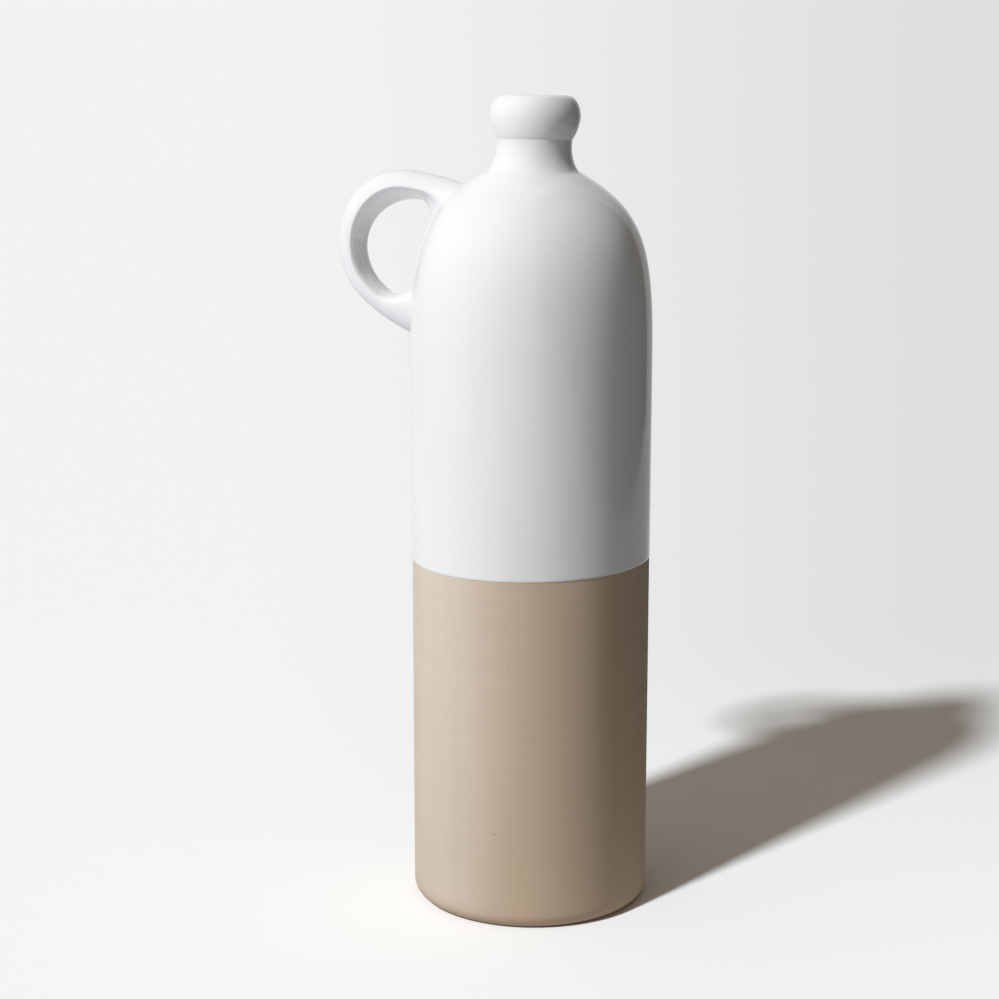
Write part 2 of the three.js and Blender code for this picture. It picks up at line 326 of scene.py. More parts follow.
def offset(outline, distance):
    """Outline pushed to the right of its direction, by one distance or one for each point."""
    step = np.diff(outline, axis=0)
    step /= np.linalg.norm(step, axis=1)[:, None]
    along = np.vstack((step[:1], step[:-1] + step[1:], step[-1:]))
    along /= np.linalg.norm(along, axis=1)[:, None]
    return outline + np.column_stack((along[:, 1], -along[:, 0])) * np.reshape(distance, (-1, 1))


def joined(*outlines):
    """Outlines end to end, without repeated points."""
    points = np.vstack([np.atleast_2d(o) for o in outlines])
    far = np.linalg.norm(np.diff(points, axis=0), axis=1) > 1e-6
    return points[np.concatenate(([True], far))]


def upright(radius, heights):
    """A straight outline up or down a wall."""
    return np.column_stack((np.full_like(heights, radius), heights))


def shoulder_outline(sizes):
    """Outside of the shoulder, from the wall to the neck joint."""
    wall = (sizes.body_radius, sizes.shoulder_start)
    top = (sizes.shoulder_radius, sizes.shoulder_top)
    across, up = math.cos(sizes.shoulder_slope), math.sin(sizes.shoulder_slope)
    wall_pull = (wall[0], wall[1] + sizes.wall_pull)
    neck_pull = (top[0] + sizes.neck_pull * across, top[1] - sizes.neck_pull * up)
    return bezier((wall, wall_pull, neck_pull, top), 80)


def neck_outline(sizes):
    """Outside of the neck, over the rolled lip and round into the mouth."""
    base = sizes.neck_base
    waist = (sizes.waist, base + sizes.waist_rise)
    crease = (sizes.crease, base + sizes.crease_rise)
    lip = (sizes.lip, sizes.rim - sizes.lip_drop)
    crest = sizes.mouth + sizes.mouth_round
    foot_pull = (waist[0] + FOOT_PULL[0], base + FOOT_PULL[1])
    foot = bezier(((sizes.neck_foot, base), foot_pull, waist), 16)
    throat = bezier((waist, (waist[0], (waist[1] + crease[1]) / 2), crease), 8)
    under_lip = bezier((crease, np.add(crease, CREASE_PULL), np.subtract(lip, LIP_PULL), lip), 24)
    roll = quarter((crest, lip[1]), sizes.lip - crest, sizes.lip_drop, 0, 20)
    mouth = (crest, sizes.rim - sizes.mouth_depth)
    turn_in = quarter(mouth, sizes.mouth_round, sizes.mouth_depth, 1, 14)
    return joined(foot, throat, under_lip, roll, turn_in)


def hollow_outline(sizes):
    """Inside of the body, from the middle of the floor up to the neck joint."""
    inner = offset(shoulder_outline(sizes), -sizes.wall)
    start = inner[-1]
    bend = (sizes.mouth, start[1] + (start[0] - sizes.mouth) * math.tan(sizes.shoulder_slope))
    throat = bezier((start, bend, (sizes.mouth, sizes.shoulder_top)), 12)
    turn = sizes.floor_round
    centre = (sizes.body_radius - sizes.wall - turn, sizes.floor + turn)
    return joined((0, sizes.floor), quarter(centre, turn, turn, 3, 14), inner, throat)


def body_outline(sizes):
    """The whole clay body, from the middle of the underside round to the middle of the floor."""
    turn = sizes.foot_round
    foot = quarter((sizes.body_radius - turn, turn), turn, turn, 3, 18)
    wall = upright(sizes.body_radius, np.linspace(turn, sizes.shoulder_start, 60)[1:-1])
    return joined((0, 0), foot, wall, shoulder_outline(sizes), hollow_outline(sizes)[::-1])


def coat_outside(sizes):
    """Clay outline under the outer glaze, and the thickness of the glaze along it."""
    rise = sizes.glaze_line + np.array(EDGE_RISE) * 1e-3
    plain = np.linspace(rise[-1], sizes.shoulder_start, 34)[1:]
    wall = upright(sizes.body_radius, np.concatenate((rise, plain)))
    dip = np.linspace(sizes.rim - sizes.mouth_depth, sizes.rim - sizes.mouth_dip, 8)[1:]
    clay = joined(wall, shoulder_outline(sizes), neck_outline(sizes), upright(sizes.mouth, dip))
    thickness = np.full(len(clay), sizes.coat)
    thickness[: len(EDGE_ROLL)] *= EDGE_ROLL
    return clay, thickness


# Meshes


def mesh_object(name, mesh, material=None):
    """A new object at the origin for a mesh, of one material if it is given."""
    piece = bpy.data.objects.new(name, mesh)
    bpy.context.scene.collection.objects.link(piece)
    if material:
        mesh.materials.append(material)
    return piece


def finished(piece, material):
    """Turns what a piece's modifiers make into its plain mesh, of one material."""
    bpy.context.view_layer.update()
    graph = bpy.context.evaluated_depsgraph_get()
    made = bpy.data.meshes.new_from_object(piece.evaluated_get(graph))
    made.name = piece.name
    made.materials.clear()
    made.materials.append(material)
    made.polygons.foreach_set("material_index", [0] * len(made.polygons))
    outline = piece.data
    piece.modifiers.clear()
    piece.data = made
    bpy.data.meshes.remove(outline)
    if not made.polygons:
        raise RuntimeError(f"{piece.name} came out empty")
    return piece


def volume(mesh):
    """Signed volume of a closed mesh."""
    shape = bmesh.new()
    shape.from_mesh(mesh)
    size = shape.calc_volume(signed=True)
    shape.free()
    return size


class Tree:
    """Short-hand for building a node tree."""

    def __init__(self, tree):
        self.tree = tree

    def add(self, kind, *links, **settings):
        """A node with settings; each link is an input and the socket or the value that it gets."""
        node = self.tree.nodes.new(kind)
        for key, value in settings.items():
            setattr(node, key, value)
        for key, value in links:
            socket = node.inputs[key]
            if isinstance(value, bpy.types.NodeSocket):
                self.tree.links.new(value, socket)
            else:
                socket.default_value = value
        return node

    def math(self, operation, *values):
        """A Math node's result."""
        return self.add("ShaderNodeMath", *enumerate(values), operation=operation).outputs[0]

    plus = partialmethod(math, "ADD")
    minus = partialmethod(math, "SUBTRACT")
    times = partialmethod(math, "MULTIPLY")
    over = partialmethod(math, "DIVIDE")

    def vector(self, operation, *values):
        """A Vector Math node's vector result."""
        return self.add("ShaderNodeVectorMath", *enumerate(values), operation=operation).outputs[0]

    def combined(self, **parts):
        """A vector made of its X, Y and Z."""
        return self.add("ShaderNodeCombineXYZ", *parts.items()).outputs[0]

    def parts(self, vector):
        """X, Y and Z of a vector."""
        return self.add("ShaderNodeSeparateXYZ", ("Vector", vector)).outputs

    def measure(self, operation, *values):
        """A Vector Math node's plain result."""
        return self.add("ShaderNodeVectorMath", *enumerate(values), operation=operation).outputs[1]

    dot = partialmethod(measure, "DOT_PRODUCT")
    distance = partialmethod(measure, "DISTANCE")

    def scaled(self, vector, factor):
        """A vector times a value."""
        node = self.add("ShaderNodeVectorMath", (0, vector), ("Scale", factor), operation="SCALE")
        return node.outputs[0]

    def ramp(self, value, low, high, start=0.0, end=1.0, smooth=True):
        """A value mapped from one range to another."""
        names = ("Value", "From Min", "From Max", "To Min", "To Max")
        links = zip(names, (value, low, high, start, end))
        kind = "SMOOTHSTEP" if smooth else "LINEAR"
        return self.add("ShaderNodeMapRange", *links, interpolation_type=kind).outputs["Result"]

    def spread(self, noise, start, end):
        """The usual range of a noise, mapped evenly to another range."""
        return self.ramp(noise, 0.3, 0.7, start, end, False)

    def mix(self, factor, a, b, blend="MIX"):
        """Two colours mixed."""
        links = ((0, factor), (6, a), (7, b))
        return self.add("ShaderNodeMix", *links, data_type="RGBA", blend_type=blend).outputs[2]

    def shaded(self, tone, light):
        """A colour made lighter or darker by a value."""
        grey = self.add("ShaderNodeCombineColor", ("Red", light), ("Green", light), ("Blue", light))
        return self.mix(1.0, tone, grey.outputs[0], "MULTIPLY")

    def noise(self, vector, scale, detail=2.0, roughness=0.5):
        """A noise value from 0 to 1."""
        names = ("Vector", "Scale", "Detail", "Roughness")
        links = zip(names, (vector, scale, detail, roughness))
        return self.add("ShaderNodeTexNoise", *links).outputs[0]


def empty_tree(owner):
    """The node tree of a material or a world, without nodes."""
    owner.use_nodes = True
    owner.node_tree.nodes.clear()
    return Tree(owner.node_tree)


def rgba(value):
    """A property's colour with full alpha."""
    return (*value, 1.0)


def node_group(name, kind, inputs, outputs):
    """A new node group with named sockets: its tree, and the sockets that it is given."""
    group = bpy.data.node_groups.new(name, kind)
    for side, sockets in (("INPUT", inputs), ("OUTPUT", outputs)):
        for label, holds, *start in sockets:
            socket = group.interface.new_socket(label, in_out=side, socket_type="NodeSocket" + holds)
            if start:
                socket.default_value = start[0]
    t = Tree(group)
    return t, t.add("NodeGroupInput").outputs


def turning_tree():
    """Geometry nodes that turn an outline on the wheel and let it move a little, as wet clay does."""
    name = "turned_on_the_wheel"
    if name in bpy.data.node_groups:
        return bpy.data.node_groups[name]
    inputs = (
        ("Outline", "Geometry"),
        ("Segments", "Int", TURN_SEGMENTS),
        ("Out of Round", "Float", 0.0),
        ("Lean", "Vector", (0, 0, 0)),
        ("Lean From", "Float", 0.0),
        ("Tip", "Vector", (0, 0, 0)),
        ("Ease Start", "Float", 0.0),
        ("Ease Length", "Float", 0.01),
        ("Edge Level", "Float", 0.0),
        ("Edge Fade", "Float", 0.03),
        ("Edge Tilt", "Vector", (0, 0, 0)),
        ("Edge Wave", "Float", 0.0),
        ("Seed", "Float", 0.0),
        ("Material", "Material"),
    )
    t, given = node_group(name, "GeometryNodeTree", inputs, (("Piece", "Geometry"),))
    t.tree.is_modifier = True
    rows = t.add("GeometryNodeAttributeDomainSize", ("Geometry", given["Outline"]), component="MESH")
    rows = rows.outputs["Point Count"]
    columns = t.plus(given["Segments"], 1.0)
    grid = t.add("GeometryNodeMeshGrid", ("Vertices X", columns), ("Vertices Y", rows))
    index = t.add("GeometryNodeInputIndex").outputs[0]
    column = t.math("FLOOR", t.over(t.plus(index, 0.5), rows))
    row = t.minus(index, t.times(column, rows))
    place = t.add("GeometryNodeInputPosition").outputs[0]
    sample = t.add(
        "GeometryNodeSampleIndex",
        ("Geometry", given["Outline"]),
        ("Value", place),
        ("Index", row),
        data_type="FLOAT_VECTOR",
        domain="POINT",
    )
    outline = t.parts(sample.outputs[0])
    turn = t.over(t.times(column, math.tau), given["Segments"])
    turn = t.math("WRAP", turn, math.tau - SEAM, -SEAM)
    spoke = t.combined(X=t.math("COSINE", turn), Y=t.math("SINE", turn))
    level = outline["Z"]
    # Throwing leaves the wall a little out of round, in slow waves round and up the jug.
    drift = t.vector("ADD", spoke, t.combined(X=given["Seed"], Z=t.times(level, WAVE_RISE)))
    wander = t.noise(drift, WAVE_SCALE, 1.0)
    swell = t.times(t.minus(wander, 0.5), given["Out of Round"])
    swell = t.times(swell, t.ramp(level, 0.006, 0.03))
    radius = t.plus(outline["X"], t.times(swell, t.ramp(outline["X"], 0.0, 0.01)))
    scaled = t.scaled(spoke, radius)
    # The neck leans: its points move sideways with height, and its rings tip.
    ease = t.ramp(level, given["Ease Start"], t.plus(given["Ease Start"], given["Ease Length"]))
    above = t.times(ease, t.minus(level, given["Lean From"]))
    aside = t.scaled(given["Lean"], above)
    tip = t.times(ease, t.dot(scaled, given["Tip"]))
    # The lower edge of a dip is tilted and wanders.
    near_edge = t.ramp(level, t.plus(given["Edge Level"], given["Edge Fade"]), given["Edge Level"])
    ripple = t.times(t.minus(t.noise(drift, RIPPLE_SCALE, 3.0), 0.5), given["Edge Wave"])
    tilt = t.plus(t.dot(scaled, given["Edge Tilt"]), t.times(ripple, 2.0))
    height = t.plus(t.minus(level, tip), t.times(near_edge, tilt))
    final = t.vector("ADD", t.vector("ADD", scaled, t.combined(Z=height)), aside)
    shaped = t.add("GeometryNodeSetPosition", ("Geometry", grid.outputs["Mesh"]), ("Position", final))
    closed = t.add("GeometryNodeMergeByDistance", ("Geometry", shaped.outputs[0]), ("Distance", WELD))
    smooth = t.add("GeometryNodeSetShadeSmooth", ("Geometry", closed.outputs[0]))
    real = t.add("GeometryNodeRealizeInstances", ("Geometry", smooth.outputs[0]))
    painted = t.add(
        "GeometryNodeSetMaterial", ("Geometry", real.outputs[0]), ("Material", given["Material"])
    )
    t.add("NodeGroupOutput", ("Piece", painted.outputs[0]))
    return t.tree


def give_nodes(piece, group, **values):
    """Adds a geometry nodes modifier; input names are written with underscores for spaces."""
    modifier = piece.modifiers.new(group.name, "NODES")
    modifier.node_group = group
    sockets = {
        item.name: item.identifier
        for item in group.interface.items_tree
        if item.item_type == "SOCKET" and item.in_out == "INPUT"
    }
    for key, value in values.items():
        modifier[sockets[key.replace("_", " ")]] = value
    return modifier


def lean_of(sizes):
    """How the clay above the shoulder leans."""
    return {
        "Lean": TO_RIGHT * math.tan(sizes.lean),
        "Lean_From": sizes.lean_from,
        "Tip": TO_RIGHT * math.tan(sizes.rim_right) + TO_BACK * math.tan(sizes.rim_back),
        "Ease_Start": sizes.shoulder_top - LEAN_DROP,
        "Ease_Length": LEAN_EASE,
    }


def turned(name, outline, material, sizes, **moves):
    """A piece of revolution about the upright axis, made from an outline, that leans at the neck."""
    mesh = bpy.data.meshes.new(name)
    points = [(r, 0, z) for r, z in outline]
    mesh.from_pydata(points, [(i, i + 1) for i in range(len(points) - 1)], [])
    piece = mesh_object(name, mesh)
    give_nodes(piece, turning_tree(), Material=material, **lean_of(sizes), **moves)
    finished(piece, material)
    if volume(piece.data) < 0:
        piece.data.flip_normals()
    return piece


# Handle


def between(start, end, part):
    """A value part of the way from one to another."""
    return start + (end - start) * part


def laid_flat(way, normal):
    """A direction of length 1 along a surface."""
    way = way - normal * way.dot(normal)
    return way / np.linalg.norm(way)


class Strap:
    """The pulled strap as a surface: a run along its middle line and a turn round it."""

    def __init__(self, jug, sizes):
        self.sizes = sizes
        clay, thickness = coat_outside(jug)
        skin = offset(clay, thickness)
        self.skin = skin[: int(np.argmax(skin[:, 1] > jug.shoulder_top)) + 1]
        loop = (jug.body_radius + sizes.standoff, jug.shoulder_start + sizes.rise)
        self.loop_middle = np.array(loop)
        self.head_middle = self.arc_on(sizes.head_turn, sizes.head)
        self.tail_middle = self.arc_on(-sizes.tail_turn, sizes.tail)
        entry = sizes.head_turn
        while self.outside(self.on_arc(self.head_middle, sizes.head, entry)) > 0:
            entry += math.radians(0.05)
        wall_turn = -math.acos((jug.body_radius - self.tail_middle[0]) / sizes.tail)
        self.start = entry
        self.head_length = (entry - sizes.head_turn) * sizes.head
        self.loop_length = (sizes.head_turn + sizes.tail_turn) * sizes.loop
        self.length = self.head_length + self.loop_length + (-sizes.tail_turn - wall_turn) * sizes.tail

    def arc_on(self, turn, radius):
        """Middle of an arc that carries on from the loop without a kink."""
        return self.on_arc(self.loop_middle, self.sizes.loop - radius, turn)

    @staticmethod
    def on_arc(middle, radius, at):
        """Point on an arc at an angle."""
        return middle + radius * np.array((math.cos(at), math.sin(at)))

    def wall(self, height):
        """Radius of the glazed jug at a height."""
        return np.interp(height, self.skin[:, 1], self.skin[:, 0])

    def outside(self, point):
        """How far a point of radius and height stands out from the jug."""
        return point[0] - self.wall(point[1])

    def at(self, run, turn):
        """Point on the strap, as x, y, z."""
        s = self.sizes
        if run < self.head_length:
            middle, radius = self.head_middle, s.head
            angle_here = self.start - run / radius
        elif run < self.head_length + self.loop_length:
            middle, radius = self.loop_middle, s.loop
            angle_here = s.head_turn - (run - self.head_length) / radius
        else:
            middle, radius = self.tail_middle, s.tail
            angle_here = -s.tail_turn - (run - self.head_length - self.loop_length) / radius
        part = run / self.length
        beyond = min(abs(part - s.swell_place) / s.swell_spread, 1)
        thick = between(*s.thick, part)
        thick = (thick + s.swell * (1 + math.cos(math.pi * beyond)) / 2) / 2
        wide = between(*s.wide, part) / 2
        bulge, aside = math.cos(turn), math.sin(turn)
        seat = -s.seat * thick
        if bulge > 0:
            lift = between(seat, s.crown * thick, bulge)
        else:
            lift = seat - s.belly * abs(bulge) ** s.flatness
        eased = min(max((s.roll_end - part) / (s.roll_end - s.roll_start), 0), 1)
        twist = s.roll * eased * eased * (3 - 2 * eased)
        out, off = self.rolled(lift, aside * wide, twist)
        plain = self.on_arc(middle, radius + out, angle_here)
        room = math.hypot(plain[0], off) - self.wall(plain[1])
        near = min(max(1 - room / between(*s.reach, part), 0), 1) ** 2
        lop = 1 - aside * between(s.lop_top, s.lop_low, part)
        web = -near * lop * between(*s.web, part) * (1 - bulge) / 2
        ridge = s.ridge * math.cos(RIDGES * turn + RIDGE_WIND * part) * bulge
        out, off = self.rolled(lift + web + ridge, aside * (wide + near * s.flare), twist)
        point = self.on_arc(middle, radius + out, angle_here)
        return np.array((-point[0], off, point[1]))

    @staticmethod
    def rolled(out, off, twist):
        """A place in the strap's section turned about the strap's line, its front edge outward."""
        return (
            out * math.cos(twist) - off * math.sin(twist),
            off * math.cos(twist) + out * math.sin(twist),
        )

    def gap(self, point):
        """Distance of a point outside the glazed jug, sideways."""
        return math.hypot(point[0], point[1]) - self.wall(point[2])

    def crossing(self, turn, inside, outside):
        """Run at which a line along the strap passes through the jug's surface."""
        for _ in range(40):
            middle = (inside + outside) / 2
            if self.gap(self.at(middle, turn)) < 0:
                inside = middle
            else:
                outside = middle
        return (inside + outside) / 2

    def on_skin(self, point):
        """Point moved sideways onto the jug, and the jug's outward normal there."""
        spoke = np.array((point[0], point[1])) / math.hypot(point[0], point[1])
        slope = (self.wall(point[2] + 1e-4) - self.wall(point[2] - 1e-4)) / 2e-4
        normal = np.array((*spoke, -slope))
        return np.array((*(spoke * self.wall(point[2])), point[2])), normal / np.linalg.norm(normal)

    def fillet(self, turn, run, middle, along, spread):
        """Points that lead a line of the strap smoothly onto the jug, ending just under its surface."""
        start = self.at(run + along, turn)
        heading = self.at(run + along * HEADING_STEP, turn) - start
        heading /= np.linalg.norm(heading)
        meet, normal = self.on_skin(self.at(run, turn))
        away = laid_flat(meet - middle, normal)
        end, normal = self.on_skin(meet + away * spread)
        away = laid_flat(away, normal)
        reach = np.linalg.norm(start - meet)
        curve = bezier(
            (start, start + heading * reach * FILLET_PULL, end - away * spread * FILLET_PULL, end),
            FILLET_STATIONS,
        )
        under, normal = self.on_skin(end + away * TUCK_RUN)
        return np.vstack((curve, under - normal * TUCK_DEPTH))

    def roots(self):
        """Turns of the strap's lines, and their runs at the shoulder and at the wall."""
        turns = np.arange(STRAP_SIDES) * math.tau / STRAP_SIDES
        half = self.length / 2
        tops = [self.crossing(t, -self.sizes.depth, half) for t in turns]
        lows = [self.crossing(t, self.length + self.sizes.depth, half) for t in turns]
        return turns, tops, lows

    def root_ring(self, upper):
        """Ring of points where the strap meets the jug."""
        turns, tops, lows = self.roots()
        return np.array([self.at(r, t) for r, t in zip(tops if upper else lows, turns)])

    def rows(self):
        """The whole strap as rows of points from the shoulder to the wall, led onto the jug."""
        top_middle = self.root_ring(True).mean(axis=0)
        low_middle = self.root_ring(False).mean(axis=0)
        lines = []
        for turn, top, low in zip(*self.roots()):
            spread = FILLET_SPREAD - FILLET_NARROWING * max(math.cos(turn), 0)
            upper = self.fillet(turn, top, top_middle, FILLET_RUN, spread)[::-1]
            lower = self.fillet(turn, low, low_middle, -FILLET_RUN, spread)
            runs = np.linspace(top + FILLET_RUN, low - FILLET_RUN, STRAP_STATIONS)[1:-1]
            lines.append(np.vstack((upper, [self.at(r, turn) for r in runs], lower)))
        return np.array(lines).transpose(1, 0, 2)

    def core_rows(self, inset, standoff):
        """The clay under the glaze, as rows that stop short of the jug."""
        lines = []
        for turn, top, low in zip(*self.roots()):
            runs = np.linspace(top, low, STRAP_STATIONS)
            line = np.array([self.at(r, turn) for r in runs])
            clear = [i for i, point in enumerate(line) if self.gap(point) > standoff]
            runs = np.linspace(runs[clear[0]], runs[clear[-1]], STRAP_STATIONS)
            lines.append([self.at(r, turn) for r in runs])
        rows = np.array(lines).transpose(1, 0, 2)
        return rows - outward(rows) * inset


def outward(rows):
    """Outward normals of a tube given as rows of points."""
    around = np.roll(rows, -1, axis=1) - np.roll(rows, 1, axis=1)
    normal = np.cross(np.gradient(rows, axis=0), around)
    normal /= np.linalg.norm(normal, axis=2)[:, :, None]
    inward = np.mean(np.sum(normal * (rows - rows.mean(axis=1)[:, None, :]), axis=2)) < 0
    return -normal if inward else normal


def tube_faces(rows, sides, loop):
    """Faces of a tube of rows, whose last row meets the first where it is a loop."""
    faces = []
    for i in range(rows if loop else rows - 1):
        for j in range(sides):
            a, b = i * sides + j, i * sides + (j + 1) % sides
            c, d = (i + 1) % rows * sides + j, (i + 1) % rows * sides + (j + 1) % sides
            faces.append((a, b, d, c))
    return faces


def solid_mesh(name, points, faces):
    """A closed smooth mesh that faces outward."""
    mesh = bpy.data.meshes.new(name)
    mesh.from_pydata(np.asarray(points).tolist(), [], faces)
    if volume(mesh) < 0:
        mesh.flip_normals()
    mesh.shade_smooth()
    return mesh


def strap_sleeve(name, rows, thickness):
    """A closed sleeve of glaze whose outside follows the rows."""
    both = np.vstack((rows, (rows - outward(rows) * thickness)[::-1]))
    return solid_mesh(name, both.reshape(-1, 3), tube_faces(*both.shape[:2], True))


def capped(name, rows, first, last):
    """A closed solid of rows with a middle point at each end."""
    count, sides = rows.shape[:2]
    faces = tube_faces(count, sides, False)
    end = count * sides
    for j in range(sides):
        a, b = j, (j + 1) % sides
        faces.append((b, a, end))
        faces.append((end - sides + a, end - sides + b, end + 1))
    return solid_mesh(name, np.vstack((rows.reshape(-1, 3), first, last)), faces)


def slip_pad(name, strap, upper, thickness):
    """A thin pad of slip that lies on the jug under a root of the strap."""
    ring = strap.root_ring(upper)
    middle = ring.mean(axis=0)
    layers = []
    for lift, part in PAD_RINGS:
        row = [strap.on_skin(middle + (point - middle) * part) for point in ring]
        layers.append([point + normal * thickness * lift for point, normal in row])
    point, normal = strap.on_skin(middle)
    low, high = (point + normal * thickness * PAD_RINGS[k][0] for k in (0, -1))
    return capped(name, np.array(layers), low, high)


def merged(piece, extra):
    """Adds another mesh to a piece."""
    shape = bmesh.new()
    shape.from_mesh(piece.data)
    shape.from_mesh(extra)
    shape.to_mesh(piece.data)
    shape.free()
    bpy.data.meshes.remove(extra)
    return piece


# Finishes


def wheel_marks():
    """Shared marks of throwing: rings round the wall, streaks down it and the grain of the surface."""
    name = "wheel_marks"
    if name in bpy.data.node_groups:
        return bpy.data.node_groups[name]
    inputs = (
        ("Vector", "Vector"),
        ("Ring Spacing", "Float", 0.004),
        ("Streak Width", "Float", 0.012),
        ("Grain Size", "Float", 0.0006),
    )
    outputs = (("Rings", "Float"), ("Streaks", "Float"), ("Grain", "Float"))
    t, given = node_group(name, "ShaderNodeTree", inputs, outputs)
    part = t.parts(given["Vector"])
    across = t.combined(X=part["X"], Y=part["Y"])
    up = t.combined(Z=t.over(part["Z"], given["Ring Spacing"]))
    rings = t.noise(t.vector("ADD", t.vector("MULTIPLY", across, (7, 7, 0)), up), 1.0, 3.0, 0.6)
    wide = t.scaled(across, t.over(1.0, given["Streak Width"]))
    low = t.combined(Z=t.times(part["Z"], 7.0))
    streaks = t.noise(t.vector("ADD", wide, low), 1.0, 2.0, 0.45)
    grain = t.noise(given["Vector"], t.over(1.0, given["Grain Size"]), 3.0, 0.6)
    t.add("NodeGroupOutput", ("Rings", rings), ("Streaks", streaks), ("Grain", grain))
    return t.tree


def kiln_specks():
    """Shared specks: scattered round spots of uneven size."""
    name = "kiln_specks"
    if name in bpy.data.node_groups:
        return bpy.data.node_groups[name]
    inputs = (
        ("Vector", "Vector"),
        ("Spacing", "Float", 0.005),
        ("Size", "Float", 0.12),
        ("Share", "Float", 0.3),
    )
    t, given = node_group(name, "ShaderNodeTree", inputs, (("Mask", "Float"),))
    scale = t.over(1.0, given["Spacing"])
    cells = t.add("ShaderNodeTexVoronoi", ("Vector", given["Vector"]), ("Scale", scale))
    chance = t.add("ShaderNodeSeparateColor", ("Color", cells.outputs["Color"])).outputs
    size = t.times(given["Size"], t.plus(0.35, chance["Green"]))
    spot = t.ramp(t.over(cells.outputs["Distance"], size), 1.0, 0.55)
    there = t.math("LESS_THAN", chance["Red"], given["Share"])
    t.add("NodeGroupOutput", ("Mask", t.times(spot, there)))
    return t.tree


def new_material(name):
    """An empty node material: its tree, its object coordinates and its shader."""
    material = bpy.data.materials.new(name)
    t = empty_tree(material)
    place = t.add("ShaderNodeTexCoord").outputs["Object"]
    surface = t.add("ShaderNodeBsdfPrincipled")
    t.add("ShaderNodeOutputMaterial", ("Surface", surface.outputs[0]))
    return material, t, place, surface


def placed(t, group, *links):
    """Outputs of a shader group placed in a material with its own values."""
    return t.add("ShaderNodeGroup", *links, node_tree=group).outputs


def thrown(t, place, rings, streaks, grain):
    """The shared marks of throwing in a material, by their sizes."""
    links = (("Ring Spacing", rings), ("Streak Width", streaks), ("Grain Size", grain))
    return placed(t, wheel_marks(), ("Vector", place), *links)


def specks(t, place, spacing, size, chance):
    """Mask of the shared specks in a material."""
    links = (("Spacing", spacing), ("Size", size), ("Share", chance))
    return placed(t, kiln_specks(), ("Vector", place), *links)["Mask"]


def paint(t, surface, tone, roughness, relief, strength, distance=1.0):
    """Gives a shader its colour, its roughness and the normals of its relief."""
    bump = t.add("ShaderNodeBump", ("Strength", strength), ("Distance", distance), ("Height", relief))
    for key, value in (("Base Color", tone), ("Roughness", roughness), ("Normal", bump.outputs[0])):
        t.tree.links.new(value, surface.inputs[key])


def clay_material(look, sizes):
    """Bare fired stoneware: matte buff with painted light and shade, paler toward the lamp and darker
    in front, slow colour drift, iron specks, pinholes and fine rings.
    """
    material, t, place, surface = new_material("bare_stoneware")
    marks = thrown(t, place, rings=0.0028, streaks=0.02, grain=0.0007)
    # Painted light and shade: the clay is painted paler and pinker on the side toward the lamp and
    # darker toward the front and the far side; a slow random drift moves the border between the two.
    drift = t.noise(t.vector("MULTIPLY", place, (16, 16, 5)), 1.0, 2.0)
    spoke = t.vector("NORMALIZE", t.vector("MULTIPLY", place, (1, 1, 0)))
    aside = t.plus(t.dot(spoke, TO_RIGHT), t.spread(drift, -0.14, 0.14))
    tone = t.mix(t.ramp(aside, -0.85, 0.05), rgba(look.painted_lit_rose), rgba(look.painted_shade_straw))
    light = t.spread(marks["Streaks"], 0.965, 1.03)
    light = t.times(light, t.spread(marks["Grain"], 0.955, 1.04))
    light = t.times(light, t.spread(marks["Rings"], 0.985, 1.012))
    tone = t.shaded(tone, light)
    foot = t.times(t.ramp(t.parts(place)["Z"], 0.012, 0.0), 0.6)
    tone = t.mix(foot, tone, rgba(look.foot))
    fine = specks(t, place, spacing=0.0042, size=0.062, chance=0.3)
    tone = t.mix(t.times(fine, 0.45), tone, rgba(look.iron))
    pits = specks(t, place, spacing=0.0075, size=0.045, chance=0.35)
    tone = t.mix(t.times(pits, 0.3), tone, rgba(look.iron))
    for turn, height, radius in IRON_SPOTS:
        turn = math.radians(turn)
        spoke = TO_RIGHT * math.sin(turn) - TO_BACK * math.cos(turn)
        middle = spoke * sizes.body_radius + Vector((0, 0, height))
        away = t.distance(place, middle)
        spot = t.times(t.ramp(away, radius, radius * 0.4), 0.7)
        tone = t.mix(spot, tone, rgba(look.iron))
    relief = t.plus(t.times(marks["Rings"], 0.00005), t.times(marks["Grain"], 0.00006))
    relief = t.minus(relief, t.times(pits, 0.0003))
    paint(t, surface, tone, t.spread(marks["Grain"], 0.82, 0.95), relief, strength=0.55)
    surface.inputs["Specular IOR Level"].default_value = 0.25
    return material


def slip_material(look):
    """Fired joining slip: like the clay, darker and finer."""
    material, t, place, surface = new_material("joining_slip")
    grain = thrown(t, place, rings=0.004, streaks=0.012, grain=0.0004)["Grain"]
    tone = t.shaded(rgba(look.slip), t.spread(grain, 0.9, 1.08))
    dots = specks(t, place, spacing=0.004, size=0.05, chance=0.2)
    tone = t.mix(t.times(dots, 0.4), tone, rgba(look.iron))
    paint(t, surface, tone, t.spread(grain, 0.85, 0.97), grain, strength=0.4, distance=0.0001)
    return material


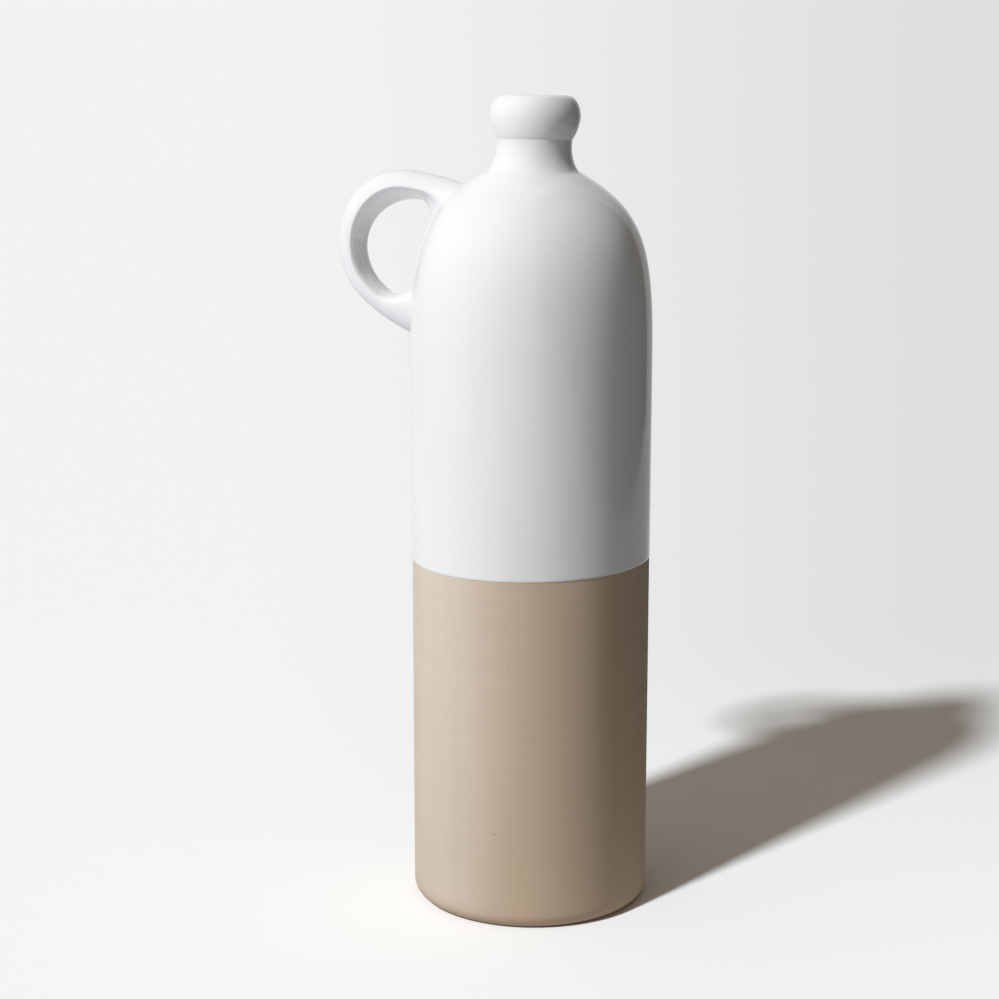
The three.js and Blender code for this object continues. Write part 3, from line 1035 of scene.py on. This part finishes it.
def glaze_material(name, look, clay, sizes, edge):
    """Glossy white glaze: thin and creamy at its edge, faintly streaked and rippled elsewhere."""
    material, t, place, surface = new_material(name)
    marks = thrown(t, place, rings=0.009, streaks=0.011, grain=0.004)
    light = t.spread(marks["Streaks"], 0.985, 1.0)
    light = t.times(light, t.spread(marks["Grain"], 0.99, 1.0))
    tone = t.shaded(rgba(look.white), light)
    if edge:
        tilt = t.dot(place, TO_RIGHT * math.tan(sizes.line_tilt))
        above = t.minus(t.minus(t.parts(place)["Z"], tilt), sizes.glaze_line)
        thin = t.times(t.ramp(above, 0.0012, 0.0002), 0.7)
        tone = t.mix(thin, tone, rgba(look.thin))
    dots = specks(t, place, spacing=0.011, size=0.02, chance=0.25)
    tone = t.mix(t.times(dots, 0.25), tone, rgba(clay.iron))
    relief = t.plus(t.times(marks["Streaks"], 0.00016), t.times(marks["Rings"], 0.00006))
    relief = t.minus(relief, t.times(dots, 0.00005))
    paint(t, surface, tone, t.spread(marks["Grain"], 0.07, 0.12), relief, strength=0.35)
    return material


def material_of(context, name):
    """A finish by name, made when it is first asked for."""
    if name in bpy.data.materials:
        return bpy.data.materials[name]
    clay, jug = context.scene.growler_clay, context.scene.growler_jug
    if name == "bare_stoneware":
        return clay_material(clay, jug)
    if name == "joining_slip":
        return slip_material(clay)
    return glaze_material(name, context.scene.growler_glaze, clay, jug, name == "dipped_glaze")


# Studio


def painted_reflection_tone(t, look, aside):
    """Painted reflection that the glaze mirrors of the pale sheet, from the lamp's side to the far one.
    """
    return t.mix(t.ramp(aside, 0.1, 0.5), rgba(look.painted_sheet), rgba(look.painted_sheet_far))


def rays(t):
    """The kinds of rays, and whether one shows what the camera sees."""
    path = t.add("ShaderNodeLightPath").outputs
    return path, t.math("MAXIMUM", path["Is Camera Ray"], path["Is Transmission Ray"])


def lay_floor(look):
    """A wide pale floor that holds the shadow; for mirror rays it glows as a sheet of paper on it, a
    painted reflection.
    """
    reach = 400.0
    level = -0.00005
    to_camera = 1.03
    mesh = bpy.data.meshes.new("studio_floor")
    corners = [(x * reach, y * reach, level) for x, y in ((-1, -1), (1, -1), (1, 1), (-1, 1))]
    mesh.from_pydata(corners, [], [(0, 1, 2, 3)])
    floor = mesh_object("studio_floor", mesh)
    material = bpy.data.materials.new("studio_floor")
    t = empty_tree(material)
    place = t.add("ShaderNodeTexCoord").outputs["Object"]
    aside = t.dot(place, TO_RIGHT)
    to_back = t.dot(place, TO_BACK)
    # Painted light: the camera sees it painted pale beside the lamp and dimmer to the right and far
    # away, a painted fall-off of the lamp's light.
    ahead = t.plus(to_back, to_camera)
    slope = t.over(aside, t.math("MAXIMUM", ahead, 0.8))
    far = t.times(t.ramp(slope, -0.12, 0.22), t.ramp(ahead, 0.9, 1.5))
    pale = t.mix(far, rgba(look.bright), rgba(look.painted_dim_floor))
    lit = t.add("ShaderNodeBsdfDiffuse", ("Color", pale)).outputs[0]
    # The jug gets the light that it sends back.
    away = t.measure("LENGTH", place)
    back = t.mix(t.ramp(aside, -0.3, 0.12), rgba(look.bounce_left), rgba(look.bounce_right))
    back = t.mix(t.ramp(away, 0.2, 0.06), back, rgba(look.bounce_foot))
    dull = t.add("ShaderNodeBsdfDiffuse", ("Color", back)).outputs[0]
    # Painted reflection: for mirror rays the floor glows as a sheet that lies on it, and as the room
    # beside the sheet.
    behind = t.math("MAXIMUM", to_back, look.sheet_back)
    across = t.times(t.math("ABSOLUTE", aside), t.over(look.sheet_back, behind))
    painted_sheet = t.ramp(across, look.sheet_side + SHEET_BLUR, look.sheet_side - SHEET_BLUR)
    beside = t.mix(t.math("GREATER_THAN", aside, 0.0), rgba(look.painted_room_left), rgba(look.painted_room_right))
    painted_sheet_tone = t.mix(painted_sheet, beside, painted_reflection_tone(t, look, aside))
    painted_reflection = t.add("ShaderNodeEmission", ("Color", painted_sheet_tone)).outputs[0]
    path, seen = rays(t)
    shown = t.add("ShaderNodeMixShader", (0, seen), (1, dull), (2, lit)).outputs[0]
    shown = t.add("ShaderNodeMixShader", (0, path["Is Glossy Ray"]), (1, shown), (2, painted_reflection))
    t.add("ShaderNodeOutputMaterial", ("Surface", shown.outputs[0]))
    mesh.materials.append(material)
    return floor


def light_room(scene, look):
    """The room: low light, a pale backdrop for the camera and a painted reflection of standing paper
    for mirrors.
    """
    world = bpy.data.worlds.new("studio_room")
    t = empty_tree(world)
    way = t.add("ShaderNodeTexCoord").outputs["Generated"]
    aside = t.dot(way, TO_RIGHT)
    # Painted reflection: for mirror rays the world shows the sheet where it stands behind the jug, and
    # the room beside it.
    wide = t.over(t.math("ABSOLUTE", aside), t.math("MAXIMUM", t.dot(way, TO_BACK), 0.05))
    edge = look.sheet_side / look.sheet_back
    beside = t.mix(t.ramp(aside, -0.2, 0.1), rgba(look.painted_room_left), rgba(look.painted_room_right))
    painted_sheet = t.ramp(wide, edge + SHEET_BLUR, edge - SHEET_BLUR)
    painted_reflection = t.mix(painted_sheet, beside, painted_reflection_tone(t, look, aside))
    # The light comes from the lamp's side and from above.
    ambient = t.mix(t.ramp(aside, -0.8, 0.8), rgba(look.ambient_left), rgba(look.ambient_right))
    up = t.dot(way, Vector((0, 0, 1)))
    ambient = t.mix(t.ramp(up, 0.55, 0.95), ambient, rgba(look.ambient_top))
    path, seen = rays(t)
    tone = t.mix(seen, ambient, rgba(look.haze))
    tone = t.mix(path["Is Glossy Ray"], tone, painted_reflection)
    shown = t.add("ShaderNodeBackground", ("Color", tone)).outputs[0]
    t.add("ShaderNodeOutputWorld", ("Surface", shown))
    scene.world = world


def hang_lamp(lamp, distance, turn, height, pieces):
    """Hangs a lamp to the left of the camera and above level, where it reaches these pieces alone."""
    holder = bpy.data.objects.new(lamp.name, lamp)
    bpy.context.scene.collection.objects.link(holder)
    flat = -TO_BACK * math.cos(turn) - TO_RIGHT * math.sin(turn)
    way = flat * math.cos(height) + Vector((0, 0, math.sin(height)))
    holder.location = LAMP_AIM + way * distance
    holder.rotation_euler = way.to_track_quat("Z", "Y").to_euler()
    holder.visible_glossy = False
    reached = bpy.data.collections.new(lamp.name + "_reach")
    for piece in pieces:
        reached.objects.link(piece)
    holder.light_linking.receiver_collection = reached


def hang_lamps(look, floor, pieces):
    """A distant light throws the shadow on the floor, and a soft round lamp lights the jug."""
    sun = bpy.data.lights.new("floor_light", "SUN")
    sun.energy = look.sun_level
    sun.angle = look.sun_spread
    sun.color = look.sun_tint
    hang_lamp(sun, look.key_distance, look.sun_turn, look.sun_height, [floor])
    key = bpy.data.lights.new("jug_light", "AREA")
    key.shape = "DISK"
    key.size = look.key_size
    key.energy = look.key_power
    key.color = look.key_tint
    hang_lamp(key, look.key_distance, look.key_turn, look.key_height, pieces)


def place_camera(scene):
    """The camera where the photograph was taken from."""
    lens = bpy.data.cameras.new("camera")
    lens.sensor_width = SENSOR_WIDTH
    lens.lens = SENSOR_WIDTH * FOCAL_PIXELS / WIDTH_PIXELS
    camera = bpy.data.objects.new("camera", lens)
    aside, ahead, up = CAMERA_PLACE
    camera.location = TO_RIGHT * aside - TO_BACK * ahead + Vector((0, 0, up))
    camera.rotation_euler = (math.radians(90 - CAMERA_TILT), 0, VIEW_TURN)
    scene.collection.objects.link(camera)
    scene.camera = camera


# Operators


def settle(piece, node):
    """Fixes a finished piece to the jug and hides the solid that it stands for."""
    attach(piece, "root")
    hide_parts(node)


class GROWLER_OT_body(bpy.types.Operator):
    """Turn the clay body: flat base, straight wall and shoulder"""

    bl_idname = "growler.body"
    bl_label = "Clay body"

    def execute(self, context):
        sizes = context.scene.growler_jug
        clay = material_of(context, "bare_stoneware")
        waves = {"Out_of_Round": OUT_OF_ROUND, "Seed": WHEEL_SEED}
        piece = turned("clay_body", body_outline(sizes), clay, sizes, **waves)
        settle(piece, "body")
        return {"FINISHED"}


class GROWLER_OT_neck(bpy.types.Operator):
    """Turn the clay neck with its rolled lip"""

    bl_idname = "growler.neck"
    bl_label = "Clay neck"

    def execute(self, context):
        sizes = context.scene.growler_jug
        clay = material_of(context, "bare_stoneware")
        foot = (sizes.mouth, sizes.neck_base)
        outline = joined(foot, neck_outline(sizes), foot)
        piece = turned("clay_neck", outline, clay, sizes)
        settle(piece, "neck")
        return {"FINISHED"}


class GROWLER_OT_coat(bpy.types.Operator):
    """Dip the upper half, the neck and the handle in white glaze"""

    bl_idname = "growler.coat"
    bl_label = "Dipped glaze"

    def execute(self, context):
        sizes = context.scene.growler_jug
        strap = context.scene.growler_handle
        glaze = material_of(context, "dipped_glaze")
        clay, thickness = coat_outside(sizes)
        outside = offset(clay, thickness)
        inside = offset(clay, sizes.skin)[::-1]
        piece = turned(
            "glaze_coat",
            joined(outside, inside, outside[0]),
            glaze,
            sizes,
            Out_of_Round=OUT_OF_ROUND,
            Seed=WHEEL_SEED,
            Edge_Level=sizes.glaze_line,
            Edge_Tilt=TO_RIGHT * math.tan(sizes.line_tilt),
            Edge_Wave=sizes.line_wave,
        )
        merged(piece, strap_sleeve("handle_glaze", Strap(sizes, strap).rows(), SLEEVE))
        settle(piece, "outer_glaze")
        return {"FINISHED"}


class GROWLER_OT_liner(bpy.types.Operator):
    """Pour the glaze lining inside"""

    bl_idname = "growler.liner"
    bl_label = "Glaze lining"

    def execute(self, context):
        sizes = context.scene.growler_jug
        glaze = material_of(context, "poured_glaze")
        top = (sizes.mouth, sizes.rim - sizes.mouth_dip - sizes.skin)
        lined = joined(hollow_outline(sizes), top)
        outline = joined(offset(lined, -sizes.skin), offset(lined, -sizes.coat)[::-1])
        outline[0, 0] = outline[-1, 0] = 0
        piece = turned("glaze_liner", outline, glaze, sizes)
        settle(piece, "liner_glaze")
        return {"FINISHED"}


class GROWLER_OT_handle(bpy.types.Operator):
    """Pull the clay strap that lies under the glaze of the handle"""

    bl_idname = "growler.handle"
    bl_label = "Clay handle"

    def execute(self, context):
        strap = Strap(context.scene.growler_jug, context.scene.growler_handle)
        room = strap.sizes.slip * PAD_ROOM
        rows = strap.core_rows(CORE_DEPTH, room)
        ends = []
        for ring in (rows[0], rows[-1]):
            point, normal = strap.on_skin(ring.mean(axis=0))
            ends.append(point + normal * room)
        clay = material_of(context, "bare_stoneware")
        piece = mesh_object("clay_handle", capped("clay_handle", rows, *ends), clay)
        settle(piece, "handle")
        return {"FINISHED"}


class GROWLER_OT_joints(bpy.types.Operator):
    """Lay the slip pads under the handle and the slip ring under the neck"""

    bl_idname = "growler.joints"
    bl_label = "Slip joints"

    def execute(self, context):
        strap = Strap(context.scene.growler_jug, context.scene.growler_handle)
        slip = material_of(context, "joining_slip")
        for node, upper in (("handle_slip_upper", True), ("handle_slip_lower", False)):
            name = node.replace("handle_slip", "slip_pad")
            piece = mesh_object(name, slip_pad(name, strap, upper, strap.sizes.slip), slip)
            settle(piece, node)
        sizes = context.scene.growler_jug
        low, high, inner, outer = SLIP_BOX[0].z, SLIP_BOX[1].z, sizes.mouth, sizes.neck_foot
        outline = [(inner, low), (outer, low), (outer, high), (inner, high), (inner, low)]
        piece = turned("slip_ring", outline, slip, sizes)
        settle(piece, "neck_slip")
        return {"FINISHED"}


class GROWLER_OT_stage(bpy.types.Operator):
    """Set up the pale floor, the lamps and the camera"""

    bl_idname = "growler.stage"
    bl_label = "Studio"

    def execute(self, context):
        look = context.scene.growler_stage
        pieces = [piece for piece in context.scene.objects if piece.type == "MESH"]
        floor = lay_floor(look)
        light_room(context.scene, look)
        hang_lamps(look, floor, pieces)
        place_camera(context.scene)
        context.scene.view_settings.view_transform = "Standard"
        return {"FINISHED"}


class GROWLER_PT_panel(bpy.types.Panel):
    """Pieces of the growler and their sizes"""

    bl_idname = "GROWLER_PT_panel"
    bl_label = "Stoneware growler"
    bl_space_type = "VIEW_3D"
    bl_region_type = "UI"
    bl_category = "Growler"

    def draw(self, context):
        for operator in OPERATORS:
            self.layout.operator(operator.bl_idname)
        for group in GROUPS:
            settings = getattr(context.scene, group)
            column = self.layout.column(align=True)
            column.label(text=GROUPS[group].__doc__)
            for key in GROUPS[group].__annotations__:
                column.prop(settings, key)


GROUPS = {
    "growler_jug": JugSizes,
    "growler_handle": HandleSizes,
    "growler_clay": ClayLook,
    "growler_glaze": GlazeLook,
    "growler_stage": StageLook,
}
OPERATORS = (
    GROWLER_OT_body,
    GROWLER_OT_neck,
    GROWLER_OT_coat,
    GROWLER_OT_liner,
    GROWLER_OT_handle,
    GROWLER_OT_joints,
    GROWLER_OT_stage,
)


def register():
    for kind in (*GROUPS.values(), *OPERATORS, GROWLER_PT_panel):
        bpy.utils.register_class(kind)
    for name, kind in GROUPS.items():
        setattr(bpy.types.Scene, name, bpy.props.PointerProperty(type=kind))


def unregister():
    for name in GROUPS:
        delattr(bpy.types.Scene, name)
    for kind in reversed((*GROUPS.values(), *OPERATORS, GROWLER_PT_panel)):
        bpy.utils.unregister_class(kind)


def main():
    register()
    bpy.ops.growler.body()
    bpy.ops.growler.neck()
    bpy.ops.growler.coat()
    bpy.ops.growler.liner()
    bpy.ops.growler.handle()
    bpy.ops.growler.joints()
    bpy.ops.growler.stage()


if __name__ == "__main__":
    main()
